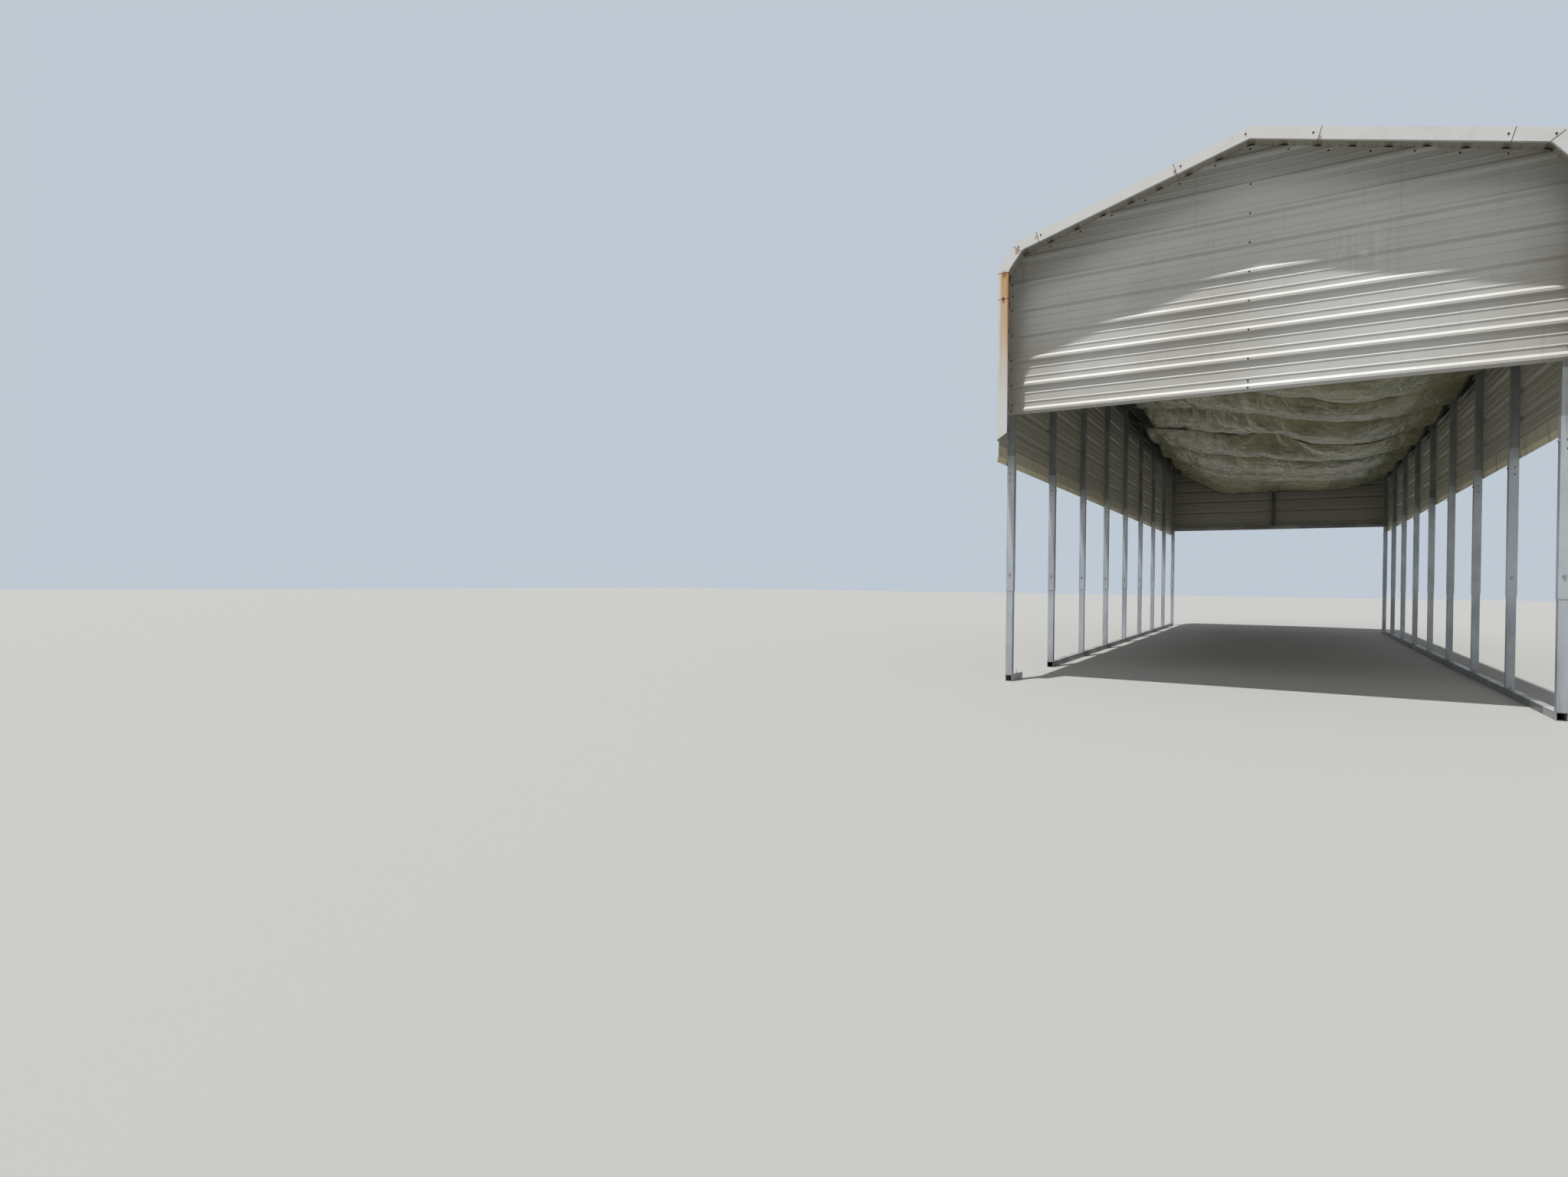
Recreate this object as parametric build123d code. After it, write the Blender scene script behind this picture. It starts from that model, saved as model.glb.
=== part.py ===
from build123d import *
import os
from math import cos, hypot, radians, sin, tan

# Regular style carport: square tube frames on base rails, ribbed sheet roof and upper walls,
# ribbed gables and a ceiling of two hung tarpaulins.
# Millimetres. +Z up, front faces -Y, origin on the floor under the middle of the roof.

# Frames
BAY = 1524.0                # 5 ft between frames
FRAME_COUNT = 9
HALF_WIDTH = 1905.0         # middle to the outer face of the bow tubes
EAVE_BEND_Z = 3675.0        # outer face at the lower eave bend
ROOF_PITCH = 16.0           # degrees
TUBE = 57.15                # bows, stubs, rails, headers, posts
TUBE_WALL = 2.1
SLEEVE_WALL = 2.9
SLEEVE_FIT = 0.275          # clearance on each side of the tube inside
SLEEVE_BOTTOM_Z = 825.0
SLEEVE_TOP_Z = 2060.0
STUB_INSERT = 300.0         # how far the stub stands up inside the sleeve
BOW_INSERT = 300.0          # how far the bow goes down into the sleeve
FOOT_RAIL_LENGTH = 350.0

# Ribbed sheet
SHEET = 1.5
RIB_PITCH = 228.6           # 9 in
RIB_HEIGHT = 19.0
RIB_BASE = 63.5
RIB_TOP = 19.0
MINOR_HEIGHT = 3.5
MINOR_BASE = 18.0
MINOR_TOP = 8.0
EAVE_RUN_MIN = 100.0        # least run of the eave bend
SHEET_PITCHES = 4           # a sheet covers 36 in
RIDGE_PITCHES = 2           # half of the ridge sheet
SEAM_OFFSET = 38.0          # seam beside the rib that laps it
ROOF_OVERHANG = 276.225     # past the end frames, so that two 21 ft lengths cover it
SIDE_SHEET_BOTTOM_Z = 2125.0

# Gables
FRONT_GABLE_BOTTOM_Z = 2430.0
BACK_GABLE_BOTTOM_Z = 2060.0
BACK_FIRST_RIB = 160.0      # bottom edge to the first rib's middle
HEADER_LIFT = 10.0          # header above the gable sheet's bottom edge

# Edge trims
TRIM = 1.5
TRIM_FACE = 90.0            # front flange, measured down from the top flange
TRIM_TOP_FLANGE = 75.0
TRIM_LIP = 22.0
TRIM_FOOT_OUTER_Z = 2165.0
TRIM_FOOT_INNER_Z = 2225.0
SIDE_TRIM_BOTTOM_Z = 1975.0
SIDE_TRIM_LIP_Z = 2025.0    # where the lip starts to cant outward
SIDE_TRIM_LIP_OUT = 12.0
SIDE_TRIM_LAP = 15.0        # hem over the side sheet

# Tarpaulins
TARP = 3.0
TARP_SPLIT_Y = -30.0        # where the front one ends
TARP_SPLIT_GAP = 60.0       # from there to the rear one
TARP_END_GAP = 150.0        # from the end frames
TARP_LEFT_Z = 3300.0
TARP_RIGHT_Z = 3030.0
TARP_RIGHT_GAP = 20.0       # from the frames' inner face
TARP_BELLY_RIGHT_X = 1230.0
FRONT_TARP_LEFT_GAP = 413.0
FRONT_TARP_BELLY_LEFT_X = 665.0
FRONT_TARP_BELLY_Z = 2800.0
REAR_TARP_LEFT_GAP = 228.0
REAR_TARP_BELLY_LEFT_X = -1000.0    # at its rear end; its front end hangs like the front one
REAR_TARP_BELLY_Z = 2840.0
TIE_DIAMETER = 6.0
TIE_LEFT_RISE = 140.0       # frame end of the tie above the tarpaulin's edge
TIE_RIGHT_RISE = 25.0

# Derived sizes
SLEEVE = TUBE + 2 * (SLEEVE_WALL + SLEEVE_FIT)
HALF_RUN = BAY * (FRAME_COUNT - 1) / 2
ROOF_LENGTH = 2 * (HALF_RUN + TUBE / 2 + ROOF_OVERHANG)
SLOPE = radians(ROOF_PITCH)
EAVE = radians((90.0 + ROOF_PITCH) / 2)
SLOPE_RIBS = int((HALF_WIDTH - EAVE_RUN_MIN) / (RIB_PITCH * cos(SLOPE)))
SLOPE_LENGTH = SLOPE_RIBS * RIB_PITCH
UPPER_BEND_X = SLOPE_LENGTH * cos(SLOPE)
EAVE_RUN = HALF_WIDTH - UPPER_BEND_X
EAVE_LENGTH = EAVE_RUN / cos(EAVE)
UPPER_BEND_Z = EAVE_BEND_Z + EAVE_RUN * tan(EAVE)
PEAK_Z = UPPER_BEND_Z + SLOPE_LENGTH * sin(SLOPE)
CREST = RIB_HEIGHT + SHEET
SLEEVE_PROUD = (SLEEVE - TUBE) / 2

PEAK_NORMAL = (sin(SLOPE), cos(SLOPE))
EAVE_NORMAL = (sin(EAVE), cos(EAVE))
WALL_NORMAL = (1.0, 0.0)

parts = {}


def offset_corner(corner, normal_a, normal_b, out):
    """Corner of two faces after both move out by the same distance."""
    scale = out / (1.0 + normal_a[0] * normal_b[0] + normal_a[1] * normal_b[1])
    return (
        corner[0] + scale * (normal_a[0] + normal_b[0]),
        corner[1] + scale * (normal_a[1] + normal_b[1]),
    )


def arch_line(out, foot_z):
    """Points from the right foot over the peak to the left foot, out from the bows' outer face."""
    mirrored = (-PEAK_NORMAL[0], PEAK_NORMAL[1])
    lower = offset_corner((HALF_WIDTH, EAVE_BEND_Z), WALL_NORMAL, EAVE_NORMAL, out)
    upper = offset_corner((UPPER_BEND_X, UPPER_BEND_Z), EAVE_NORMAL, PEAK_NORMAL, out)
    peak = offset_corner((0.0, PEAK_Z), PEAK_NORMAL, mirrored, out)
    right = [(HALF_WIDTH + out, foot_z), lower, upper]
    left = [(-x, z) for x, z in reversed(right)]
    return right + [peak] + left


def prism_y(points, y_start, y_end):
    """Solid with the outline points in X and Z, from y_start to y_end."""
    outline = [Vector(x, y_start, z) for x, z in points]
    face = Face(Wire.make_polygon(outline, close=True))
    return extrude(face, amount=y_end - y_start, dir=(0, 1, 0))


def prism_x(points, x_start, x_end):
    """Solid with the outline points in Y and Z, from x_start to x_end."""
    outline = [Vector(x_start, y, z) for y, z in points]
    face = Face(Wire.make_polygon(outline, close=True))
    return extrude(face, amount=x_end - x_start, dir=(1, 0, 0))


def arch_ring(out_outer, out_inner, y_start, y_end, foot_outer_z, foot_inner_z):
    """Band that follows the roof section between two distances from the bows' outer face."""
    outer = arch_line(out_outer, foot_outer_z)
    inner = arch_line(out_inner, foot_inner_z)
    return prism_y(outer + inner[::-1], y_start, y_end)


def block(x, y, z):
    """Box from three (low, high) pairs."""
    size = Box(x[1] - x[0], y[1] - y[0], z[1] - z[0])
    return Pos((x[0] + x[1]) / 2, (y[0] + y[1]) / 2, (z[0] + z[1]) / 2) * size


def tube_block(x, y, z, wall, axis):
    """Square tube: a box with a smaller box cut right through along one axis."""
    spans = [x, y, z]
    inner = [
        (low - 1.0, high + 1.0) if index == axis else (low + wall, high - wall)
        for index, (low, high) in enumerate(spans)
    ]
    return block(*spans) - block(*inner)


def frame_y(index):
    """Middle of a frame, counted from the front."""
    return -HALF_RUN + index * BAY


# Base rails
front_y = frame_y(0) - TUBE / 2
second_y = frame_y(1) - TUBE / 2
back_y = frame_y(FRAME_COUNT - 1) + TUBE / 2
left_x = (-HALF_WIDTH, -HALF_WIDTH + TUBE)
right_x = (HALF_WIDTH - TUBE, HALF_WIDTH)
rail_z = (0.0, TUBE)
foot_y = (front_y, front_y + FOOT_RAIL_LENGTH)
parts["foot_rail_front_left"] = tube_block(left_x, foot_y, rail_z, TUBE_WALL, 1)
parts["base_rail_left"] = tube_block(left_x, (second_y, back_y), rail_z, TUBE_WALL, 1)
parts["base_rail_right"] = tube_block(right_x, (front_y, back_y), rail_z, TUBE_WALL, 1)


# Legs and bows
def leg_tubes(middle_x, middle_y):
    """Stub on the rail and the sleeve round it."""
    half = TUBE / 2
    half_sleeve = SLEEVE / 2
    stub = tube_block(
        (middle_x - half, middle_x + half),
        (middle_y - half, middle_y + half),
        (TUBE, SLEEVE_BOTTOM_Z + STUB_INSERT),
        TUBE_WALL,
        2,
    )
    sleeve = tube_block(
        (middle_x - half_sleeve, middle_x + half_sleeve),
        (middle_y - half_sleeve, middle_y + half_sleeve),
        (SLEEVE_BOTTOM_Z, SLEEVE_TOP_Z),
        SLEEVE_WALL,
        2,
    )
    return [stub, sleeve]


def bow_tube(middle_y):
    """Arched tube with open ends inside the sleeves."""
    half = TUBE / 2
    foot_z = SLEEVE_TOP_Z - BOW_INSERT
    outside = arch_ring(0.0, -TUBE, middle_y - half, middle_y + half, foot_z, foot_z)
    hollow_foot = foot_z - 1.0
    hollow = arch_ring(
        -TUBE_WALL,
        TUBE_WALL - TUBE,
        middle_y - half + TUBE_WALL,
        middle_y + half - TUBE_WALL,
        hollow_foot,
        hollow_foot,
    )
    return outside - hollow


leg_middle_x = HALF_WIDTH - TUBE / 2
for frame_index in range(FRAME_COUNT):
    middle_y = frame_y(frame_index)
    left_leg = leg_tubes(-leg_middle_x, middle_y)
    right_leg = leg_tubes(leg_middle_x, middle_y)
    number = frame_index + 1
    parts[f"leg_{number}"] = Compound(children=left_leg + right_leg)
    parts[f"bow_{number}"] = bow_tube(middle_y)


# Gable framing
def header_tube(middle_y, bottom_z):
    """Tube between the two sides of a bow."""
    inside = HALF_WIDTH - TUBE
    return tube_block(
        (-inside, inside),
        (middle_y - TUBE / 2, middle_y + TUBE / 2),
        (bottom_z, bottom_z + TUBE),
        TUBE_WALL,
        0,
    )


def gable_post(middle_y, bottom_z):
    """Tube from the header to the underside of the bow, cut to its peak."""
    under_peak = PEAK_Z - TUBE / cos(SLOPE)

    def outline(half, low_z, top_z):
        drop = half * tan(SLOPE)
        return [(-half, low_z), (half, low_z), (half, top_z - drop), (0.0, top_z), (-half, top_z - drop)]

    half = TUBE / 2
    bore = half - TUBE_WALL
    outside = prism_y(outline(half, bottom_z, under_peak), middle_y - half, middle_y + half)
    hollow = prism_y(outline(bore, bottom_z - 1.0, PEAK_Z), middle_y - bore, middle_y + bore)
    return outside - hollow


first_y = frame_y(0)
last_y = frame_y(FRAME_COUNT - 1)
front_header_z = FRONT_GABLE_BOTTOM_Z + HEADER_LIFT
back_header_z = BACK_GABLE_BOTTOM_Z + HEADER_LIFT
parts["front_header"] = header_tube(first_y, front_header_z)
parts["back_header"] = header_tube(last_y, back_header_z)
parts["front_gable_post"] = gable_post(first_y, front_header_z + TUBE)
parts["back_gable_post"] = gable_post(last_y, back_header_z + TUBE)


# Ribbed sheets
def rib_profile(ribs, start, end):
    """Heights of the sheet's underside along it, as (distance, height), between two distances.

    ribs holds the middle of every major rib; two minor ribs stand between each pair."""
    points = []
    for index, middle in enumerate(ribs):
        points.append((middle - RIB_BASE / 2, 0.0))
        points.append((middle - RIB_TOP / 2, RIB_HEIGHT))
        points.append((middle + RIB_TOP / 2, RIB_HEIGHT))
        points.append((middle + RIB_BASE / 2, 0.0))
        if index + 1 < len(ribs):
            gap = ribs[index + 1] - middle
            for third in (1, 2):
                minor = middle + gap * third / 3
                points.append((minor - MINOR_BASE / 2, 0.0))
                points.append((minor - MINOR_TOP / 2, MINOR_HEIGHT))
                points.append((minor + MINOR_TOP / 2, MINOR_HEIGHT))
                points.append((minor + MINOR_BASE / 2, 0.0))
    inside = [point for point in points if start < point[0] < end]
    return [(start, 0.0)] + inside + [(end, 0.0)]


def on_section(distance, out):
    """Point in X and Z at a distance from the peak along the roof section, right side positive."""
    side = 1.0 if distance >= 0 else -1.0
    along = abs(distance)
    if along <= SLOPE_LENGTH:
        x = along * cos(SLOPE) + out * PEAK_NORMAL[0]
        z = PEAK_Z - along * sin(SLOPE) + out * PEAK_NORMAL[1]
    elif along <= SLOPE_LENGTH + EAVE_LENGTH:
        rest = along - SLOPE_LENGTH
        x = UPPER_BEND_X + rest * cos(EAVE) + out * EAVE_NORMAL[0]
        z = UPPER_BEND_Z - rest * sin(EAVE) + out * EAVE_NORMAL[1]
    else:
        x = HALF_WIDTH + out
        z = EAVE_BEND_Z - (along - SLOPE_LENGTH - EAVE_LENGTH)
    return (side * x, z)


def roof_sheet(start, end):
    """Ribbed sheet along the whole roof between two distances from the peak."""
    profile = rib_profile(section_ribs, start, end)
    under = [on_section(distance, height) for distance, height in profile]
    over = [on_section(distance, height + SHEET) for distance, height in profile]
    return prism_y(under + over[::-1], -ROOF_LENGTH / 2, ROOF_LENGTH / 2)


wall_start = SLOPE_LENGTH + EAVE_LENGTH
wall_pitches = int((EAVE_BEND_Z - SIDE_SHEET_BOTTOM_Z) / RIB_PITCH)
half_ribs = [index * RIB_PITCH for index in range(SLOPE_RIBS + 1)]
half_ribs += [wall_start + index * RIB_PITCH for index in range(wall_pitches + 2)]
section_ribs = [-distance for distance in reversed(half_ribs[1:])] + half_ribs

ridge_seam = RIDGE_PITCHES * RIB_PITCH + SEAM_OFFSET
eave_seam = (RIDGE_PITCHES + SHEET_PITCHES) * RIB_PITCH + SEAM_OFFSET
side_seam = wall_start + RIB_PITCH + SEAM_OFFSET
side_end = wall_start + EAVE_BEND_Z - SIDE_SHEET_BOTTOM_Z
ridge = roof_sheet(-ridge_seam, ridge_seam)
parts["ridge_sheet_right"] = split(ridge, bisect_by=Plane.YZ, keep=Keep.TOP)
parts["ridge_sheet_left"] = split(ridge, bisect_by=Plane.YZ, keep=Keep.BOTTOM)
parts["slope_sheet_right"] = roof_sheet(ridge_seam, eave_seam)
parts["eave_sheet_right"] = roof_sheet(eave_seam, side_seam)
parts["side_sheet_right"] = roof_sheet(side_seam, side_end)
parts["slope_sheet_left"] = roof_sheet(-eave_seam, -ridge_seam)
parts["eave_sheet_left"] = roof_sheet(-side_seam, -eave_seam)
parts["side_sheet_left"] = roof_sheet(-side_end, -side_seam)


def gable_sheet(face_y, outward, bottom_z, first_rib_z):
    """Sheet with level ribs, cut to the roof section, lying on the frame at face_y."""
    rib_total = int((PEAK_Z - bottom_z) / RIB_PITCH) + 2
    ribs = [first_rib_z + index * RIB_PITCH for index in range(rib_total)]
    profile = rib_profile(ribs, bottom_z, PEAK_Z + RIB_PITCH)
    back = [(face_y + outward * height, z) for z, height in profile]
    front = [(face_y + outward * (height + SHEET), z) for z, height in profile]
    whole = prism_x(back + front[::-1], -HALF_WIDTH, HALF_WIDTH)
    reach = RIB_HEIGHT + 2 * SHEET
    low_y = min(face_y, face_y + outward * reach) - SHEET
    high_y = max(face_y, face_y + outward * reach) + SHEET
    cutter = prism_y(arch_line(0.0, bottom_z), low_y, high_y)
    return whole & cutter


front_first_rib_z = FRONT_GABLE_BOTTOM_Z + RIB_BASE / 2
back_first_rib_z = BACK_GABLE_BOTTOM_Z + BACK_FIRST_RIB
parts["front_gable_sheet"] = gable_sheet(front_y, -1.0, FRONT_GABLE_BOTTOM_Z, front_first_rib_z)
parts["back_gable_sheet"] = gable_sheet(back_y, 1.0, BACK_GABLE_BOTTOM_Z, back_first_rib_z)


# Edge trims
def end_trim(end_y, inward):
    """Folded trim: flange over the ribs, face across their ends and a lip turned back under."""
    top = CREST + TRIM
    low = top - TRIM_FACE

    def band(out_outer, out_inner, depth, foot_outer_z, foot_inner_z):
        span = sorted((end_y, end_y + inward * depth))
        return arch_ring(out_outer, out_inner, span[0], span[1], foot_outer_z, foot_inner_z)

    face = band(top, low, -TRIM, TRIM_FOOT_OUTER_Z, TRIM_FOOT_INNER_Z)
    cover = band(top, CREST, TRIM_TOP_FLANGE, TRIM_FOOT_OUTER_Z, TRIM_FOOT_OUTER_Z)
    lip = band(low + TRIM, low, TRIM_LIP, TRIM_FOOT_INNER_Z, TRIM_FOOT_INNER_Z)
    return face + cover + lip


def side_trim(side):
    """Strip under the side sheet, hemmed over it, with its lower lip canted outward."""
    inner_x = HALF_WIDTH + SLEEVE_PROUD
    outer_x = inner_x + TRIM
    lip_x = inner_x + SIDE_TRIM_LIP_OUT
    top_z = SIDE_SHEET_BOTTOM_Z + SIDE_TRIM_LAP
    points = [
        (HALF_WIDTH + SHEET, top_z),
        (HALF_WIDTH + SHEET, SIDE_SHEET_BOTTOM_Z),
        (inner_x, SIDE_SHEET_BOTTOM_Z),
        (inner_x, SIDE_TRIM_LIP_Z),
        (lip_x, SIDE_TRIM_BOTTOM_Z),
        (lip_x + TRIM, SIDE_TRIM_BOTTOM_Z),
        (outer_x, SIDE_TRIM_LIP_Z),
        (outer_x, top_z),
    ]
    placed = [(side * x, z) for x, z in points]
    return prism_y(placed, -ROOF_LENGTH / 2, ROOF_LENGTH / 2)


parts["front_trim"] = end_trim(-ROOF_LENGTH / 2, 1.0)
parts["back_trim"] = end_trim(ROOF_LENGTH / 2, -1.0)
parts["side_trim_left"] = side_trim(-1.0)
parts["side_trim_right"] = side_trim(1.0)


# Hung tarpaulins
def tarp_outline(left_x, belly_left_x, belly_z):
    """Trough-shaped cross section of a ceiling cloth."""
    top = [
        (left_x, TARP_LEFT_Z),
        (belly_left_x, belly_z),
        (TARP_BELLY_RIGHT_X, belly_z),
        (tarp_right_x, TARP_RIGHT_Z),
    ]
    under = [(x, z - TARP) for x, z in top]
    return top + under[::-1]


def twisted_solid(first_points, first_y, last_points, last_y):
    """Solid that runs straight from one outline in X and Z to another."""
    first = Wire.make_polygon([Vector(x, first_y, z) for x, z in first_points], close=True)
    last = Wire.make_polygon([Vector(x, last_y, z) for x, z in last_points], close=True)
    return Solid.make_loft([first, last], ruled=True)


def tie(edge_x, edge_z, frame_x, rise, middle_y):
    """Straight cord from the cloth's edge to the inner face of a bow."""
    span = frame_x - edge_x
    length = hypot(span, rise)
    end = Plane(origin=(edge_x, middle_y, edge_z), z_dir=(1, 0, 0))
    return extrude(end * Circle(TIE_DIAMETER / 2), amount=length, dir=(span / length, 0, rise / length))


inside_x = HALF_WIDTH - TUBE
tarp_right_x = inside_x - TARP_RIGHT_GAP
front_left_x = FRONT_TARP_LEFT_GAP - inside_x
rear_left_x = REAR_TARP_LEFT_GAP - inside_x
front_start = first_y + TARP_END_GAP
rear_start = TARP_SPLIT_Y + TARP_SPLIT_GAP
rear_end = last_y - TARP_END_GAP
front_outline = tarp_outline(front_left_x, FRONT_TARP_BELLY_LEFT_X, FRONT_TARP_BELLY_Z)
parts["tarp_front"] = prism_y(front_outline, front_start, TARP_SPLIT_Y)
parts["tarp_rear"] = twisted_solid(
    tarp_outline(rear_left_x, FRONT_TARP_BELLY_LEFT_X, REAR_TARP_BELLY_Z),
    rear_start,
    tarp_outline(rear_left_x, REAR_TARP_BELLY_LEFT_X, REAR_TARP_BELLY_Z),
    rear_end,
)
ties = []
for frame_index in range(1, FRAME_COUNT - 1):
    middle_y = frame_y(frame_index)
    left_x = front_left_x if middle_y < TARP_SPLIT_Y else rear_left_x
    ties.append(tie(left_x, TARP_LEFT_Z - TARP / 2, -inside_x, TIE_LEFT_RISE, middle_y))
    ties.append(tie(tarp_right_x, TARP_RIGHT_Z - TARP / 2, inside_x, TIE_RIGHT_RISE, middle_y))
parts["tarp_ties"] = Compound(children=ties)

os.makedirs("parts", exist_ok=True)
for name, solid in parts.items():
    export_step(solid, f"parts/{name}.step")
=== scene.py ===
import random
from math import atan2, cos, pi, radians, sin, sqrt

import bmesh
import bpy
from mathutils import Matrix, Vector, noise


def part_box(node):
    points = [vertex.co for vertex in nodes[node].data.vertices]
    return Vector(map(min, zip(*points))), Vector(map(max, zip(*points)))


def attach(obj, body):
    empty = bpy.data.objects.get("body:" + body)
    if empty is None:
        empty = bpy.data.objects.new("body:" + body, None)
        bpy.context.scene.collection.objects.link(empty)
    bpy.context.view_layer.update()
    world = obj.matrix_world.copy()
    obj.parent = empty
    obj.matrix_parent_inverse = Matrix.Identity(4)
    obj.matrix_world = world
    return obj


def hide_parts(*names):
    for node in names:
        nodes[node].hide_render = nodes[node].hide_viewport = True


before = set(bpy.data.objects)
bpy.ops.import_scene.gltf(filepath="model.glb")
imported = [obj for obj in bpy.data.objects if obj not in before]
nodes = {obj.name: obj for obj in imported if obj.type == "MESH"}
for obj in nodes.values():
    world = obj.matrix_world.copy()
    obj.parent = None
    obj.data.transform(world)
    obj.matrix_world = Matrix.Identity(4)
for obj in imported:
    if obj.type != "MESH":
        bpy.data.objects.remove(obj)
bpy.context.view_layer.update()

# The looks of a metal carport: finishes, screws, bolts, laps in the sheets and trims, and its
# two hung tarpaulins. Metres, +Z up, front faces -Y.

# Camera, as the photograph was taken
CAMERA_PLACE = (0.3013, -13.5709, 0.8997)
CAMERA_YAW = 31.728         # degrees to the left of +Y
CAMERA_PITCH = -0.539
CAMERA_ROLL = 0.531
SENSOR_WIDTH = 36.0
FOCAL_LENGTH = 18.766

# Sizes shared with the solids
TUBE = 0.05715
SLEEVE_BOTTOM_Z = 0.825
SLEEVE_TOP_Z = 2.06
SHEET = 0.0015
RIB_PITCH = 0.2286
RIB_HEIGHT = 0.019
RIB_BASE = 0.0635
RIB_TOP = 0.019
MINOR_HEIGHT = 0.0035
MINOR_BASE = 0.018
MINOR_TOP = 0.008
SEAM_OFFSET = 0.038
TRIM_FACE = 0.09
TRIM_LIP = 0.022

# Fasteners
SCREW_BESIDE_RIB = 0.045
GABLE_EDGE_STEP = 0.27
GABLE_PAN_SCREWS_Z = (2.519, 2.845, 3.51)
GABLE_RIBS = 12             # enough to pass the peak
GABLE_PEAK_GAP = 0.15       # no middle screw lies nearer to the peak
BACK_FIRST_RIB = 0.16       # from the back gable's bottom edge to its first rib
LEG_BOLT_Z = 0.98           # through sleeve and stub
LEG_SCREWS_Z = (1.84, 1.9)  # through sleeve and bow
LEG_SCREW_OFFSET = 0.006    # outward from the sleeve's middle
LEG_SIDE_BOLT_Z = 1.896
ANCHOR_BEFORE_LEG = 0.1
WELD_STEP = 0.0042
WELD_UNEVEN = 0.0006
TRIM_SCREW_DEPTH = 0.045    # from the trim's top edge down its face
TRIM_TOP_SCREW_Y = 0.05     # from the trim's face back over the roof
TRIM_SCREW_BESIDE_RIB = 0.02
TRIM_PEAK_SCREW = -0.035    # from the peak along the slope
SIDE_TRIM_SCREW_DEPTH = 0.05
SIDE_TRIM_PROUD = 0.0032

# Laps
LAP_PLATE = 0.0007          # how far an upper length stands proud
LAP_SUNK = 0.0004
LAP_LINE = 0.0035           # dark end of a trim's lap, painted shadow gap and rust, along the trim
LAP_LINE_PLATE = 0.0011
SEAM_LAP = (-0.004, 0.012)  # edge of an upper sheet, across a seam
SEAM_PLATE = (-0.0003, 0.0009)
SEAM_END_GAP = 0.002
TRIM_LAP = 0.07             # length of a trim's lap
TRIM_FLANGE = 0.07
ROOF_LAP_Y = (-0.03, 0.06)
SIDE_TRIM_LAPS_Y = (-3.71, 0.0, 3.71)
SIDE_TRIM_LIP_Z = 2.025

# Rust on the trims: the left upright's stain, and (x, z, reach, strength) of smaller spots
RUST_X = -1.8
RUST_LOW_Z = 2.4
RUST_HIGH_Z = 3.5
RUST_TOP_Z = 3.634
RUST_SPOTS = (
    (-1.88, 3.395, 0.025, 1.6),
    (-1.872, 3.62, 0.03, 1.6),
    (-1.765, 3.8, 0.025, 1.2),
    (-0.515, 4.18, 0.018, 1.3),
    (-1.6, 3.89, 0.02, 0.9),
    (0.45, 4.185, 0.015, 0.9),
)

# Faint pale runs on the front gable
PALE_RUNS_X = 0.74
PALE_RUNS_Z = 3.41

# Tarpaulins
TARP_FLAT = (3.6, 6.0)      # 12 by 20 ft with its hems
TARP_CELL = 0.045
TARP_FRAMES = 40
TARP_SCALLOP = 0.05
TARP_SCALLOP_REACH = 0.45
TARP_ROUNDING = 0.2
TARP_WAVE = 0.018
TARP_CRUMPLE = 0.012
TARP_FOLD = 0.02
CREASES = (2.3, 2.2)        # how close creases, folds and dents lie, across and along
FOLDS = (2.6, 0.45)
DENTS = (7.0, 9.0)
ROW_CALM = 0.3              # share of the crumple on a pinned row, and how far it is held back
ROW_CALM_REACH = 0.25
FRONT_TARP_LIFTS = (0.05, 0.1, 0.1, 0.16, 0.07)
FRONT_TARP_SLACK = 0.013
REAR_TARP_LIFTS = (0.06, 0.0, -0.02, 0.08, 0.0)
REAR_TARP_SLACK = 0.009
SAG_PER_SLACK = 3.0
TARP_RIPPLE = 0.006
ROUNDING_STEPS = 6
ROW_GAP = 0.3               # no row but the ends lies nearer to an end
HEM_PEAK_X = 0.05           # where the middle of the hem is caught up
HEM_PEAK = 0.12
HEM_PEAK_REACH = 0.45
HEM_PEAK_LENGTH = 0.6
HEM_DROP = 0.038            # how far the rear hems hang down
HEM_DROP_Y = 0.012
FAN_FOLDS = 13.0            # folds that spread from the hem's peak
FAN_DEPTH = 0.02
FAN_REACH = 1.4
FAN_START = 0.2             # how far past the hem its folds meet
TARP_THICKNESS = 0.0009
TARP_HEM = 0.04
TARP_WEAVE = 0.0025
CORD_RADIUS = 0.0036
CORD_TO_FRAME = 0.05        # how far from a frame a row may lie and still be tied to it
CORD_STEPS = 60
CORD_LEFT_RISE = 0.14
CORD_RIGHT_RISE = 0.025
CORD_UNEVEN = 0.012
CORD_SAG = 0.012
CORD_TAIL_STEP = (0.006, 0.012, -0.03)
WRAP_END = 0.004            # how far inside a bow's outer face a cord's turn ends
WRAP_UNEVEN = 0.001
EYELET_SHARES = (0.006, 0.994)
EYELET_FROM_FRONT = 0.02
EYELET_FROM_HEM = 0.05
CORD_FROM_HEM = 0.04


# Places read from the frame
def corners_of(node):
    """A node's corners seen from the front, as rounded (x, z) pairs."""
    return sorted({(round(v.co.x, 5), round(v.co.z, 5)) for v in nodes[node].data.vertices})


def right_side_of(bow):
    """Peak, upper bend, lower bend and foot of a bow's outer face, on its right side."""
    points = [Vector(corner) for corner in corners_of(bow)]
    wall_x = max(point.x for point in points)
    wall = [point for point in points if point.x == wall_x]
    slope = [point for point in points if 0 < point.x < wall_x]

    def height(point):
        return point.y

    return [max(points, key=height), max(slope, key=height), max(wall, key=height), min(wall, key=height)]


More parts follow.
